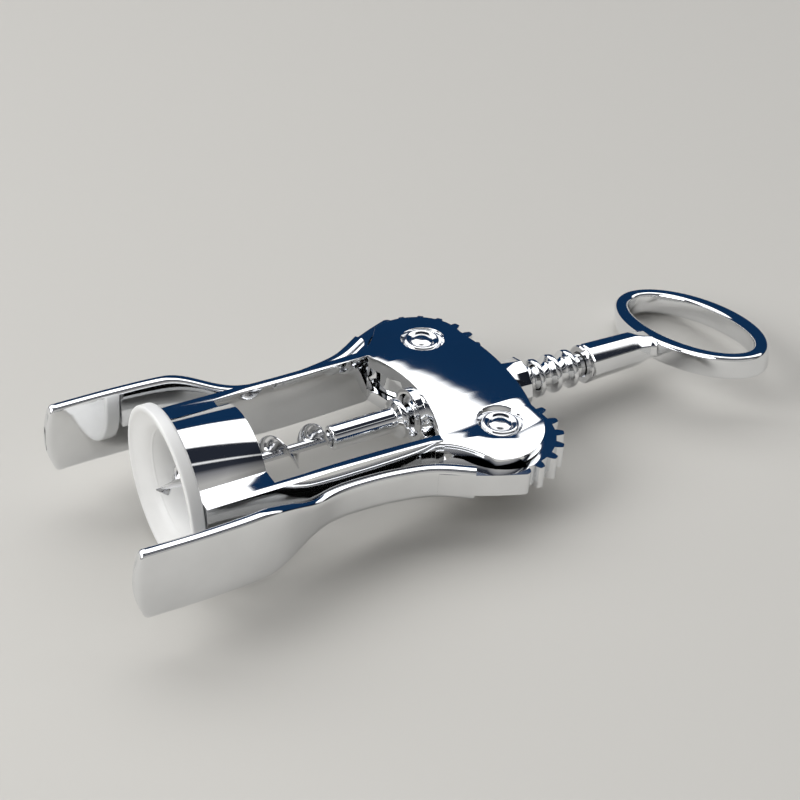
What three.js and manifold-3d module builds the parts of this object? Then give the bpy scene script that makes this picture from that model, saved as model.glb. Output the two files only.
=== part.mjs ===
// Lever corkscrew lying flat: +Y runs from the bell's mouth to the ring, +Z is up, millimetres.
import * as THREE from 'three';
import { mergeVertices } from 'three/addons/utils/BufferGeometryUtils.js';
import Module from 'manifold-3d';

const wasm = await Module();
wasm.setup();

// ---- sizes that can be set by themselves ----
const CUP_SEGMENTS = 24;
const ROUND_SEGMENTS = 32;
const SMALL_SEGMENTS = 24;
const PIN_SEGMENTS = 12;
const CURVE_SEGMENTS = 10;
const FIT_GAP = 0.3;
const SLOT_GAP = 0.4;
const CUT_PAST = 1;

const FLANGE_RADIUS = 18;
const FLANGE_THICKNESS = 3;
const FLANGE_EDGE = 0.4;
const FLANGE_LIP = 1.2;
const CUP_THROAT_RADIUS = 10.8;
const CUP_THROAT_DEPTH = 8;
const CUP_LENGTH = 14;
const CUP_WALL = 1.1;

const BARREL_WALL = 1.2;
const BARREL_BACK = 19.2;
const CHEEK_STEP = 2.3;

const LEG_THICKNESS = 2.1;
const WINDOW_INSET = 1.2;
const LEG_BOW = 0.6;
const LEG_STRAIGHT_SHARE = 0.4;
const LEG_BOW_SHARE = 0.65;
const LEG_SETBACK = 0.4;
const HEAD_HALF_HEIGHT = 6.9;
const HEAD_CAMBER_RADIUS = 210;
const ARCH_HEIGHT = 3.4;
const SHOULDER_BULGE = 0.8;
const SHOULDER_DROP = 5;
const LOBE_RADIUS = 11.2;
const LOBE_SETBACK = 1.8;
const LOBE_START = THREE.MathUtils.degToRad(-28);
const LOBE_END = THREE.MathUtils.degToRad(101);
const HEAD_LENGTH_PAST_PIVOT = 10.9;
const COLLAR_LENGTH = 5.8;
const COLLAR_WALL = 1.15;
const COLLAR_SIDES = 12;
const COLLAR_CHAMFER = 0.5;
const COLLAR_ROOT = 1.2;
const BOSS_LENGTH = 3.5;
const BOSS_INSET = 1.8;

const PIVOT_Y = 72.5;
const RIVET_RADIUS = 2.6;
const RIVET_HEAD_RADIUS = 4.2;
const RIVET_HEAD_HEIGHT = 1.3;
const RIVET_RIM = 0.6;
const RIVET_RIM_DROP = 0.25;
const RIVET_GROOVE_RADIUS = 2.5;
const RIVET_GROOVE_DEPTH = 0.6;
const RIVET_CROWN_DROP = 0.1;
const COUNTERSINK_RADIUS = 5.1;

const TOOTH_PITCH = 4.5;
const GEAR_TEETH = 19;
const FIRST_TOOTH = -1;
const LAST_TOOTH = 9;
const TOOTH_ADDENDUM = 0.75;
const TOOTH_DEDENDUM = 1.05;
const TOOTH_BACKLASH = 0.4;
const TOOTH_ROOT_SINK = 0.6;
const PRESSURE_ANGLE = THREE.MathUtils.degToRad(22);

const RACK_PITCH_RADIUS = 3.9;
const RACK_CRESTS = 11;
const CRESTS_BELOW_PIVOT = 4;
const SHAFT_TAIL = 17;
const SHAFT_CHAMFER = 0.4;
const STUD_RADIUS = 2.1;
const STUD_LENGTH = 9;
const STUD_COLLAR = 0.5;
const WASHER_THICKNESS = 1.1;

const LEVER_HUB_HEIGHT = 5.5;
const HUB_PAST_GEAR = 4.65;
const HUB_ARM_STEP = 3.2;
const HUB_ARM_WIDTH = 3.4;
const ARM_END_STEP = 9.4;
const ARM_END_DROP = 11.5;
const HUB_BELLY = 11;
const TAB_PAST_GEAR = 0.35;
const TAB_CORNER = 1.6;
const TAB_SETBACK = 0.4;
const ARM_HEIGHT = 7.8;
const ARM_THICKNESS = 3;
const ARM_CLEARANCE = 0.5;
const ARM_BEND = 0.2;
const PADDLE_HEIGHT = 17;
const PADDLE_THICKNESS = 2.7;
const PADDLE_REACH = 87;
const PADDLE_SPREAD = 25.7;
const PADDLE_BULGE = 1.5;
const PADDLE_CORNER = 1.6;
const PADDLE_SHARE = 0.7;
const NARROW_SHARE = 0.51;
const NARROWING = 8;

const WORM_LENGTH = 40.5;
const WORM_PITCH = 10;
const WORM_RADIUS = 4.4;
const WORM_CORE_RADIUS = 1.15;
const WORM_BLADE = 1;
const WORM_TAPER = 6.5;
const WORM_RUN_OUT = 2;
const WORM_POINT = 0.14;
const WORM_STEPS_PER_TURN = 15;
const WORM_CURVE_SEGMENTS = 4;
const SHANK_RADIUS = 1.6;
const SHANK_LENGTH = 7;
const PIN_RADIUS = 0.7;
const PIN_DEPTH = 1.7;

const NECK_LENGTH = 19.15;
const NECK_END_RADIUS = 4.1;
const NECK_SIDES = 8;
const NECK_SLOPE_LENGTH = 6;
const RING_HALF_WIDTH = 25;
const RING_HALF_LENGTH = 13.1;
const RING_WALL = 3.7;
const RING_THICKNESS = 5.6;
const ROOT_SPREAD = 3;
const ROOT_DEPTH = 1.6;
const ROOT_LENGTH = 2;
const HANDLE_TURN = -12.5;

// ---- sizes that follow from them ----
const CUP_MOUTH_RADIUS = FLANGE_RADIUS - FLANGE_LIP;
const BARREL_INNER = CUP_THROAT_RADIUS + CUP_WALL + FIT_GAP;
const BARREL_RADIUS = BARREL_INNER + BARREL_WALL;
const BARREL_FRONT = FLANGE_THICKNESS + FIT_GAP;
const GEAR_RADIUS = (GEAR_TEETH * TOOTH_PITCH) / (2 * Math.PI);
const GEAR_TIP = GEAR_RADIUS + TOOTH_ADDENDUM;
const GEAR_ROOT = GEAR_RADIUS - TOOTH_DEDENDUM;
const PIVOT_X = GEAR_RADIUS + RACK_PITCH_RADIUS;
const HUB_ARM_LENGTH = GEAR_TIP + HUB_PAST_GEAR;
const TAB_RADIUS = GEAR_TIP + TAB_PAST_GEAR;
const PIVOT_BORE = RIVET_RADIUS + FIT_GAP;
const RACK_CREST = RACK_PITCH_RADIUS + TOOTH_ADDENDUM;
const RACK_ROOT = RACK_PITCH_RADIUS - TOOTH_DEDENDUM;
const HEAD_BORE = RACK_CREST + FIT_GAP;
const COLLAR_RADIUS = HEAD_BORE + COLLAR_WALL;
const SLOT_HALF_HEIGHT = LEVER_HUB_HEIGHT / 2 + SLOT_GAP;
const HEAD_START = PIVOT_Y - GEAR_TIP - FIT_GAP / 2;
const HEAD_END = PIVOT_Y + HEAD_LENGTH_PAST_PIVOT;
const COLLAR_END = HEAD_END + COLLAR_LENGTH;
const WINDOW_HALF_WIDTH = PIVOT_X - WINDOW_INSET;
const LEG_WAIST = BARREL_RADIUS + CHEEK_STEP;
const LEG_FLARE = WINDOW_HALF_WIDTH - LEG_WAIST;
const LEG_HALF_HEIGHT = HEAD_HALF_HEIGHT - LEG_SETBACK;
const ARM_WAIST = LEG_WAIST + LEG_THICKNESS + ARM_CLEARANCE + ARM_THICKNESS / 2;
const LOWEST_CREST = PIVOT_Y + TOOTH_PITCH * (0.5 - CRESTS_BELOW_PIVOT);
const HIGHEST_CREST = LOWEST_CREST + TOOTH_PITCH * (RACK_CRESTS - 1);
const SHAFT_START = LOWEST_CREST - SHAFT_TAIL;
const WASHER_START = HIGHEST_CREST + TOOTH_PITCH - TOOTH_ADDENDUM;
const NECK_START = WASHER_START + WASHER_THICKNESS + FIT_GAP;
const NECK_END = NECK_START + NECK_LENGTH;
const RING_CENTRE = NECK_END + RING_HALF_LENGTH - RING_WALL / 2;
const RING_END = RING_CENTRE + RING_HALF_LENGTH;
const PADDLE_TIP = PIVOT_Y - PADDLE_REACH;
const TOOL_MIDDLE = (RING_END + PADDLE_TIP - PADDLE_BULGE) / 2;

// ---- looks ----
const CHROME = { color: 0xc9ccd0, roughness: 0.08, metalness: 1 };
const STEEL = { color: 0xb9bcc0, roughness: 0.16, metalness: 1 };
const PLASTIC = { color: 0xf0f0ee, roughness: 0.45, metalness: 0 };

// ---- solids ----
function toManifold(geometry) {
  const bare = new THREE.BufferGeometry();
  bare.setAttribute('position', geometry.getAttribute('position').clone());
  if (geometry.index) bare.setIndex(geometry.index.clone());
  const merged = mergeVertices(bare, 1e-4);
  const mesh = new wasm.Mesh({
    numProp: 3,
    vertProperties: new Float32Array(merged.getAttribute('position').array),
    triVerts: new Uint32Array(merged.index.array),
  });
  mesh.merge();
  return new wasm.Manifold(mesh);
}

function toMesh(name, solid, look) {
  const data = solid.getMesh();
  const geometry = new THREE.BufferGeometry();
  const vertices = new Float32Array(data.vertProperties);
  geometry.setAttribute('position', new THREE.BufferAttribute(vertices, 3));
  geometry.setIndex(new THREE.BufferAttribute(new Uint32Array(data.triVerts), 1));
  geometry.computeVertexNormals();
  const mesh = new THREE.Mesh(geometry, new THREE.MeshStandardMaterial(look));
  mesh.name = name;
  return mesh;
}

function union(solids) {
  return solids.reduce((sum, solid) => sum.add(solid));
}

// A closed outline in the XY plane, extruded evenly above and below z = 0.
function slab(shape, height, curveSegments = CURVE_SEGMENTS) {
  const geometry = new THREE.ExtrudeGeometry(shape, { depth: height, bevelEnabled: false, curveSegments });
  geometry.translate(0, 0, -height / 2);
  return toManifold(geometry);
}

// A closed outline drawn as (y, z), extruded along X from x = low to x = high.
function sideSlab(shape, low, high) {
  const geometry = new THREE.ExtrudeGeometry(shape, {
    depth: high - low, bevelEnabled: false, curveSegments: CURVE_SEGMENTS,
  });
  geometry.applyMatrix4(new THREE.Matrix4().set(
    0, 0, 1, low,
    1, 0, 0, 0,
    0, 1, 0, 0,
    0, 0, 0, 1,
  ));
  return toManifold(geometry);
}

// A closed outline drawn as (x, z), extruded along Y from y = low to y = high.
function frontSlab(shape, low, high) {
  const geometry = new THREE.ExtrudeGeometry(shape, {
    depth: high - low, bevelEnabled: false, curveSegments: CURVE_SEGMENTS,
  });
  geometry.rotateX(Math.PI / 2);
  geometry.translate(0, high, 0);
  return toManifold(geometry);
}

// A profile of [radius, y] pairs turned about the tool's own axis.
function turned(profile, segments = ROUND_SEGMENTS) {
  const points = profile.map(([radius, y]) => new THREE.Vector2(radius, y));
  return toManifold(new THREE.LatheGeometry(points, segments));
}

function rod(radius, low, high, segments = ROUND_SEGMENTS) {
  return turned([[0, low], [radius, low], [radius, high], [0, high]], segments);
}

// The same profile turned about an upright axis through (x, y).
function turnedUpright(profile, x, y) {
  const points = profile.map(([radius, z]) => new THREE.Vector2(radius, z));
  const geometry = new THREE.LatheGeometry(points, SMALL_SEGMENTS);
  geometry.rotateX(Math.PI / 2);
  geometry.translate(x, y, 0);
  return toManifold(geometry);
}

function block(x, y, z, midX, midY, midZ) {
  const geometry = new THREE.BoxGeometry(x, y, z);
  geometry.translate(midX, midY, midZ);
  return toManifold(geometry);
}

function mirrored(solid) {
  return solid.mirror([1, 0, 0]);
}

// ---- frame casting ----
function headOutline() {
  const shape = new THREE.Shape();
  const lobeY = PIVOT_Y - LOBE_SETBACK;
  const legEnd = HEAD_START - LEG_THICKNESS;
  const outer = WINDOW_HALF_WIDTH + LEG_THICKNESS;
  const shoulder = outer + SHOULDER_BULGE;
  const shoulderY = lobeY + LOBE_RADIUS * Math.sin(LOBE_START) - SHOULDER_DROP;
  const onLobe = (angle) => [
    PIVOT_X + LOBE_RADIUS * Math.cos(angle),
    lobeY + LOBE_RADIUS * Math.sin(angle),
  ];
  const [startX, startY] = onLobe(LOBE_START);
  const [endX, endY] = onLobe(LOBE_END);
  shape.moveTo(WINDOW_HALF_WIDTH, legEnd);
  shape.lineTo(outer, legEnd);
  shape.quadraticCurveTo(shoulder, shoulderY, startX, startY);
  shape.absarc(PIVOT_X, lobeY, LOBE_RADIUS, LOBE_START, LOBE_END, false);
  shape.quadraticCurveTo(PIVOT_X / 2, HEAD_END, 0, HEAD_END);
  shape.quadraticCurveTo(-PIVOT_X / 2, HEAD_END, -endX, endY);
  shape.absarc(-PIVOT_X, lobeY, LOBE_RADIUS, Math.PI - LOBE_END, Math.PI - LOBE_START, false);
  shape.quadraticCurveTo(-shoulder, shoulderY, -outer, legEnd);
  shape.lineTo(-WINDOW_HALF_WIDTH, legEnd);
  shape.lineTo(-WINDOW_HALF_WIDTH, HEAD_START);
  shape.quadraticCurveTo(0, HEAD_START + 2 * ARCH_HEIGHT, WINDOW_HALF_WIDTH, HEAD_START);
  return shape;
}

// Top and bottom faces are slightly domed across the tool.
function headEnvelope() {
  const shape = new THREE.Shape();
  const half = Math.asin((PIVOT_X + LOBE_RADIUS + CUT_PAST) / HEAD_CAMBER_RADIUS);
  const drop = HEAD_CAMBER_RADIUS - HEAD_HALF_HEIGHT;
  const upright = Math.PI / 2;
  shape.absarc(0, -drop, HEAD_CAMBER_RADIUS, upright - half, upright + half, false);
  shape.absarc(0, drop, HEAD_CAMBER_RADIUS, -upright - half, -upright + half, false);
  return frontSlab(shape, HEAD_START - 2 * LEG_THICKNESS, HEAD_END + CUT_PAST);
}

function domeHeight(x) {
  return HEAD_HALF_HEIGHT - (x * x) / (2 * HEAD_CAMBER_RADIUS);
}

function leg() {
  const shape = new THREE.Shape();
  const top = HEAD_START - FIT_GAP;
  const straight = BARREL_FRONT + (top - BARREL_FRONT) * LEG_STRAIGHT_SHARE;
  const bow = BARREL_FRONT + (top - BARREL_FRONT) * LEG_BOW_SHARE;
  const outer = LEG_WAIST + LEG_THICKNESS;
  shape.moveTo(LEG_WAIST, BARREL_FRONT);
  shape.lineTo(LEG_WAIST, straight);
  shape.quadraticCurveTo(LEG_WAIST - LEG_BOW, bow, WINDOW_HALF_WIDTH, top);
  shape.lineTo(WINDOW_HALF_WIDTH + LEG_THICKNESS, top);
  shape.quadraticCurveTo(outer - LEG_BOW, bow, outer, straight);
  shape.lineTo(outer, BARREL_FRONT);
  return slab(shape, 2 * LEG_HALF_HEIGHT);
}

// The leg runs on beside the barrel as a cheek that is one with it.
function cheek() {
  const width = LEG_WAIST + LEG_THICKNESS / 2;
  const length = BARREL_BACK - BARREL_FRONT;
  return block(width, length, 2 * LEG_HALF_HEIGHT, width / 2, BARREL_FRONT + length / 2, 0);
}

function pivotHole(x) {
  const surface = domeHeight(x);
  const floor = surface - RIVET_HEAD_HEIGHT - FIT_GAP;
  const lip = RIVET_HEAD_RADIUS + FIT_GAP;
  const past = surface + CUT_PAST;
  const wide = COUNTERSINK_RADIUS + CUT_PAST;
  return turnedUpright([
    [0, -past], [wide, -past], [COUNTERSINK_RADIUS, -surface],
    [lip, -floor], [PIVOT_BORE, -floor], [PIVOT_BORE, floor], [lip, floor],
    [COUNTERSINK_RADIUS, surface], [wide, past], [0, past],
  ], x, PIVOT_Y);
}

// Both plates are one slab with the levers' slot cut through it.
function headPlates() {
  const start = HEAD_START - FIT_GAP;
  const length = HEAD_END + CUT_PAST - start;
  const width = 2 * (PIVOT_X + LOBE_RADIUS + CUT_PAST);
  return slab(headOutline(), 2 * HEAD_HALF_HEIGHT)
    .intersect(headEnvelope())
    .subtract(block(width, length, 2 * SLOT_HALF_HEIGHT, 0, start + length / 2, 0));
}

function collar() {
  const chamferStart = COLLAR_END - COLLAR_CHAMFER;
  return turned([
    [0, HEAD_END - COLLAR_ROOT], [COLLAR_RADIUS, HEAD_END - COLLAR_ROOT], [COLLAR_RADIUS, chamferStart],
    [COLLAR_RADIUS - COLLAR_CHAMFER, COLLAR_END], [0, COLLAR_END],
  ], COLLAR_SIDES);
}

function frameCasting() {
  const side = leg().add(cheek());
  const bossStart = HEAD_START + ARCH_HEIGHT - BOSS_INSET;
  const body = union([
    headPlates(), side, mirrored(side), collar(),
    rod(COLLAR_RADIUS, bossStart, bossStart + BOSS_LENGTH),
    rod(BARREL_RADIUS, BARREL_FRONT, BARREL_BACK),
  ]);
  return body
    .subtract(rod(BARREL_INNER, BARREL_FRONT - CUT_PAST, BARREL_BACK + CUT_PAST))
    .subtract(rod(HEAD_BORE, HEAD_START - CUT_PAST, COLLAR_END + CUT_PAST))
    .subtract(pivotHole(PIVOT_X))
    .subtract(pivotHole(-PIVOT_X));
}

// ---- cup insert: a funnel that centres the bottle's lip and lines the barrel ----
function cupInsert() {
  const funnel = new THREE.CubicBezierCurve(
    new THREE.Vector2(CUP_MOUTH_RADIUS, 0),
    new THREE.Vector2((3 * CUP_MOUTH_RADIUS + CUP_THROAT_RADIUS) / 4, FLANGE_THICKNESS / 2),
    new THREE.Vector2(CUP_THROAT_RADIUS, FLANGE_THICKNESS / 2),
    new THREE.Vector2(CUP_THROAT_RADIUS, CUP_THROAT_DEPTH),
  );
  const inside = funnel.getPoints(CURVE_SEGMENTS / 2).map((point) => [point.x, point.y]);
  const spigot = CUP_THROAT_RADIUS + CUP_WALL;
  return turned([
    [CUP_MOUTH_RADIUS, 0],
    [FLANGE_RADIUS - FLANGE_EDGE, 0],
    [FLANGE_RADIUS, FLANGE_EDGE],
    [FLANGE_RADIUS, FLANGE_THICKNESS - FLANGE_EDGE],
    [FLANGE_RADIUS - FLANGE_EDGE, FLANGE_THICKNESS],
    [spigot, FLANGE_THICKNESS],
    [spigot, CUP_LENGTH],
    [CUP_THROAT_RADIUS, CUP_LENGTH],
    ...inside.reverse(),
  ], CUP_SEGMENTS);
}

// ---- rivets: a domed middle inside a rolled rim, alike at both ends ----
function rivet(x) {
  const surface = domeHeight(x);
  const under = surface - RIVET_HEAD_HEIGHT;
  const half = [
    [RIVET_RADIUS, under], [RIVET_HEAD_RADIUS, under],
    [RIVET_HEAD_RADIUS, surface - RIVET_GROOVE_DEPTH],
    [RIVET_HEAD_RADIUS - RIVET_RIM, surface - RIVET_RIM_DROP],
    [RIVET_GROOVE_RADIUS + RIVET_RIM, surface - RIVET_RIM_DROP],
    [RIVET_GROOVE_RADIUS, surface - RIVET_GROOVE_DEPTH],
    [RIVET_GROOVE_RADIUS - RIVET_RIM, surface - RIVET_RIM_DROP],
    [0, surface - RIVET_CROWN_DROP],
  ];
  const below = half.map(([radius, z]) => [radius, -z]).reverse();
  return turnedUpright([...below, ...half], x, PIVOT_Y);
}

// ---- levers ----
function toothFlank(radius) {
  const base = GEAR_RADIUS * Math.cos(PRESSURE_ANGLE);
  const involute = (r) => {
    const angle = Math.acos(Math.min(1, base / r));
    return Math.tan(angle) - angle;
  };
  const halfAtPitch = (TOOTH_PITCH / 2 - TOOTH_BACKLASH) / (2 * GEAR_RADIUS);
  return halfAtPitch + involute(GEAR_RADIUS) - involute(Math.max(radius, base));
}

// One tooth of the near lever, pointing from the pivot at the given angle.
function gearTooth(angle) {
  const shape = new THREE.Shape();
  const radii = [
    GEAR_ROOT - TOOTH_ROOT_SINK, GEAR_RADIUS - TOOTH_ADDENDUM * 0.6,
    GEAR_RADIUS, GEAR_RADIUS + TOOTH_ADDENDUM / 2, GEAR_TIP,
  ];
  const side = (radius, sign) => [
    PIVOT_X + radius * Math.cos(angle + sign * toothFlank(radius)),
    PIVOT_Y + radius * Math.sin(angle + sign * toothFlank(radius)),
  ];
  const points = [
    ...radii.map((radius) => side(radius, -1)),
    ...radii.slice().reverse().map((radius) => side(radius, 1)),
  ];
  points.forEach(([x, y], index) => (index ? shape.lineTo(x, y) : shape.moveTo(x, y)));
  return slab(shape, LEVER_HUB_HEIGHT);
}

// Middle line of the arm seen from above, from the paddle's tip to the hub.
function armLine() {
  const along = (share) => PIVOT_Y - share * PADDLE_REACH;
  const points = [
    [PADDLE_SPREAD, PADDLE_TIP - 2 * PADDLE_BULGE],
    [PADDLE_SPREAD + 0.2, along(0.83)],
    [PADDLE_SPREAD - 0.6, along(0.68)],
    [(PADDLE_SPREAD + ARM_WAIST) / 2 - 0.6, along(0.565)],
    [ARM_WAIST + 0.3, along(0.48)],
    [ARM_WAIST - ARM_BEND + LEG_FLARE / 3, along(0.4)],
    [ARM_WAIST + ARM_BEND / 2 + LEG_FLARE, along(0.31)],
    [PIVOT_X + HUB_ARM_STEP + HUB_ARM_WIDTH / 2, PIVOT_Y - HUB_ARM_LENGTH],
    [PIVOT_X + ARM_END_STEP, PIVOT_Y - ARM_END_DROP],
  ];
  return new THREE.SplineCurve(points.map(([x, y]) => new THREE.Vector2(x, y)));
}

function leverPlan() {
  const line = armLine();
  const count = 4 * CURVE_SEGMENTS;
  const outer = [];
  const inner = [];
  for (let index = 0; index <= count; index += 1) {
    const share = index / count;
    const middle = line.getPoint(share);
    const direction = line.getTangent(share);
    const half = THREE.MathUtils.lerp(PADDLE_THICKNESS, ARM_THICKNESS, share) / 2;
    const across = new THREE.Vector2(direction.y, -direction.x).multiplyScalar(half);
    outer.push(middle.clone().add(across));
    inner.unshift(middle.clone().sub(across));
  }
  return new THREE.Shape([...outer, ...inner]);
}

// Seen from the side the paddle is tall, its tip bulges, and it narrows into the arm.
function leverSide() {
  const shape = new THREE.Shape();
  const tall = PADDLE_HEIGHT / 2;
  const low = ARM_HEIGHT / 2;
  const corner = PADDLE_CORNER;
  const widest = PIVOT_Y - PADDLE_SHARE * PADDLE_REACH;
  const narrow = PIVOT_Y - NARROW_SHARE * PADDLE_REACH;
  shape.moveTo(PADDLE_TIP, tall - corner);
  shape.quadraticCurveTo(PADDLE_TIP - 2 * PADDLE_BULGE, 0, PADDLE_TIP, corner - tall);
  shape.quadraticCurveTo(PADDLE_TIP, -tall, PADDLE_TIP + corner, -tall);
  shape.lineTo(widest, -tall);
  shape.bezierCurveTo(widest + NARROWING, -tall, narrow - NARROWING, -low, narrow, -low);
  shape.lineTo(PIVOT_Y, -low);
  shape.lineTo(PIVOT_Y, low);
  shape.lineTo(narrow, low);
  shape.bezierCurveTo(narrow - NARROWING, low, widest + NARROWING, tall, widest, tall);
  shape.lineTo(PADDLE_TIP + corner, tall);
  shape.quadraticCurveTo(PADDLE_TIP, tall, PADDLE_TIP, tall - corner);
  return shape;
}

// The thinner end of the arm, which turns between the head's plates.
function hubOutline() {
  const shape = new THREE.Shape();
  const inner = PIVOT_X + HUB_ARM_STEP;
  const tab = PIVOT_X + TAB_RADIUS;
  const armY = PIVOT_Y - HUB_ARM_LENGTH;
  const tabY = PIVOT_Y - TAB_SETBACK;
  shape.moveTo(inner, armY);
  shape.lineTo(inner + HUB_ARM_WIDTH, armY);
  shape.quadraticCurveTo(tab - 2 * TAB_CORNER, PIVOT_Y - HUB_BELLY, tab, tabY - TAB_CORNER);
  shape.quadraticCurveTo(tab, tabY, tab - TAB_CORNER, tabY);
  shape.lineTo(PIVOT_X, PIVOT_Y);
  shape.lineTo(PIVOT_X, PIVOT_Y - GEAR_ROOT / 2);
  shape.quadraticCurveTo(inner - TAB_SETBACK, PIVOT_Y - GEAR_ROOT, inner, armY);
  return shape;
}

function lever() {
  const arm = slab(leverPlan(), PADDLE_HEIGHT + CUT_PAST)
    .intersect(sideSlab(leverSide(), 0, 2 * PADDLE_SPREAD));
  const half = LEVER_HUB_HEIGHT / 2;
  const past = half + CUT_PAST;
  const disc = turnedUpright(
    [[0, -half], [GEAR_ROOT, -half], [GEAR_ROOT, half], [0, half]], PIVOT_X, PIVOT_Y);
  const hole = turnedUpright(
    [[0, -past], [PIVOT_BORE, -past], [PIVOT_BORE, past], [0, past]], PIVOT_X, PIVOT_Y);
  const teeth = [];
  for (let index = FIRST_TOOTH; index <= LAST_TOOTH; index += 1) {
    teeth.push(gearTooth(Math.PI - (index * 2 * Math.PI) / GEAR_TEETH));
  }
  return union([arm, slab(hubOutline(), LEVER_HUB_HEIGHT), disc, ...teeth]).subtract(hole);
}

// ---- rack shaft: rings around a rod, so that it works as a rack at any turn ----
function rackProfile() {
  const flank = Math.tan(PRESSURE_ANGLE);
  const halfAtPitch = (TOOTH_PITCH / 2 - TOOTH_BACKLASH) / 2;
  const atCrest = halfAtPitch - TOOTH_ADDENDUM * flank;
  const atRoot = halfAtPitch + TOOTH_DEDENDUM * flank;
  const profile = [];
  for (let index = 0; index < RACK_CRESTS; index += 1) {
    const y = LOWEST_CREST + index * TOOTH_PITCH;
    profile.push([RACK_ROOT, y - atRoot], [RACK_CREST, y - atCrest]);
    profile.push([RACK_CREST, y + atCrest], [RACK_ROOT, y + atRoot]);
  }
  return profile;
}

function pinHole(radius) {
  const hole = new THREE.CylinderGeometry(radius, radius, 4 * RACK_ROOT, PIN_SEGMENTS);
  hole.rotateZ(Math.PI / 2);
  hole.translate(0, SHAFT_START + PIN_DEPTH, 0);
  return toManifold(hole);
}

function rackShaft() {
  const collarEnd = NECK_START + STUD_COLLAR;
  const studEnd = NECK_START + STUD_LENGTH;
  const body = turned([
    [0, SHAFT_START], [RACK_ROOT - SHAFT_CHAMFER, SHAFT_START], [RACK_ROOT, SHAFT_START + SHAFT_CHAMFER],
    ...rackProfile(),
    [RACK_ROOT, collarEnd], [STUD_RADIUS, collarEnd], [STUD_RADIUS, studEnd], [0, studEnd],
  ], SMALL_SEGMENTS);
  const socketEnd = SHAFT_START + SHANK_LENGTH + FIT_GAP;
  const socket = rod(SHANK_RADIUS + FIT_GAP, SHAFT_START - CUT_PAST, socketEnd);
  return body.subtract(socket).subtract(pinHole(PIN_RADIUS + FIT_GAP / 2));
}

function crossPin() {
  const length = 2 * RACK_ROOT;
  const pin = new THREE.CylinderGeometry(PIN_RADIUS, PIN_RADIUS, length, PIN_SEGMENTS);
  pin.rotateZ(Math.PI / 2);
  pin.translate(0, SHAFT_START + PIN_DEPTH, 0);
  return toManifold(pin);
}

function neckWasher() {
  const inner = RACK_ROOT + FIT_GAP;
  const end = WASHER_START + WASHER_THICKNESS;
  return turned([
    [inner, WASHER_START], [RACK_CREST, WASHER_START], [RACK_CREST, end], [inner, end],
    [inner, WASHER_START],
  ], SMALL_SEGMENTS);
}

// ---- worm: a thin blade wound round a core, ending in a point ----
function wormSection() {
  const bladeAngle = (WORM_BLADE / WORM_PITCH) * 2 * Math.PI;
  const shape = new THREE.Shape();
  shape.absarc(0, 0, WORM_CORE_RADIUS, bladeAngle, 2 * Math.PI - bladeAngle, false);
  shape.absarc(0, 0, WORM_RADIUS, -bladeAngle / 2, bladeAngle / 2, false);
  return shape;
}

function worm() {
  const tip = SHAFT_START - WORM_LENGTH;
  const length = WORM_LENGTH - FIT_GAP;
  const geometry = new THREE.ExtrudeGeometry(wormSection(), {
    depth: length,
    steps: Math.round((length / WORM_PITCH) * WORM_STEPS_PER_TURN),
    bevelEnabled: false,
    curveSegments: WORM_CURVE_SEGMENTS,
  });
  const position = geometry.getAttribute('position');
  for (let index = 0; index < position.count; index += 1) {
    const x = position.getX(index);
    const y = position.getY(index);
    const along = position.getZ(index);
    const radius = Math.hypot(x, y);
    const blade = (WORM_RADIUS - WORM_CORE_RADIUS) * Math.min(1, (length - along) / WORM_RUN_OUT);
    const taper = WORM_POINT + (1 - WORM_POINT) * Math.min(1, along / WORM_TAPER);
    const reach = (Math.min(radius, WORM_CORE_RADIUS + blade) / radius) * taper;
    const angle = (along / WORM_PITCH) * 2 * Math.PI;
    position.setXYZ(index,
      reach * (x * Math.cos(angle) - y * Math.sin(angle)),
      tip + along,
      -reach * (x * Math.sin(angle) + y * Math.cos(angle)));
  }
  const shank = rod(SHANK_RADIUS, SHAFT_START - 2 * FIT_GAP, SHAFT_START + SHANK_LENGTH);
  return toManifold(geometry).add(shank).subtract(pinHole(PIN_RADIUS + FIT_GAP / 2));
}

// ---- ring handle ----
function ovalSlab(inset, height) {
  const shape = new THREE.Shape();
  shape.absellipse(
    0, RING_CENTRE, RING_HALF_WIDTH - inset, RING_HALF_LENGTH - inset, 0, 2 * Math.PI, false);
  return slab(shape, height, 2 * CURVE_SEGMENTS);
}

// The neck is eight-sided, and its top and bottom slope down to the ring's thickness.
function ringNeck() {
  const geometry = new THREE.CylinderGeometry(NECK_END_RADIUS, RACK_CREST, NECK_LENGTH, NECK_SIDES);
  geometry.rotateY(Math.PI / NECK_SIDES);
  geometry.translate(0, NECK_START + NECK_LENGTH / 2, 0);
  const half = RING_THICKNESS / 2;
  const slopeStart = NECK_END - NECK_SLOPE_LENGTH;
  const side = new THREE.Shape();
  side.moveTo(NECK_START - CUT_PAST, -RACK_CREST);
  side.lineTo(slopeStart, -RACK_CREST);
  side.lineTo(NECK_END, -half);
  side.lineTo(NECK_END, half);
  side.lineTo(slopeStart, RACK_CREST);
  side.lineTo(NECK_START - CUT_PAST, RACK_CREST);
  return toManifold(geometry).intersect(sideSlab(side, -2 * RACK_CREST, 2 * RACK_CREST));
}

// A web that widens from the neck into the ring.
function ringRoot() {
  const narrow = NECK_END_RADIUS * Math.cos(Math.PI / NECK_SIDES);
  const wide = NECK_END_RADIUS + ROOT_SPREAD;
  const start = NECK_END - ROOT_LENGTH;
  const end = NECK_END + ROOT_DEPTH;
  const shape = new THREE.Shape();
  shape.moveTo(-narrow, start);
  shape.lineTo(narrow, start);
  shape.quadraticCurveTo(NECK_END_RADIUS, NECK_END, wide, end);
  shape.lineTo(-wide, end);
  shape.quadraticCurveTo(-NECK_END_RADIUS, NECK_END, -narrow, start);
  return slab(shape, RING_THICKNESS);
}

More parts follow.
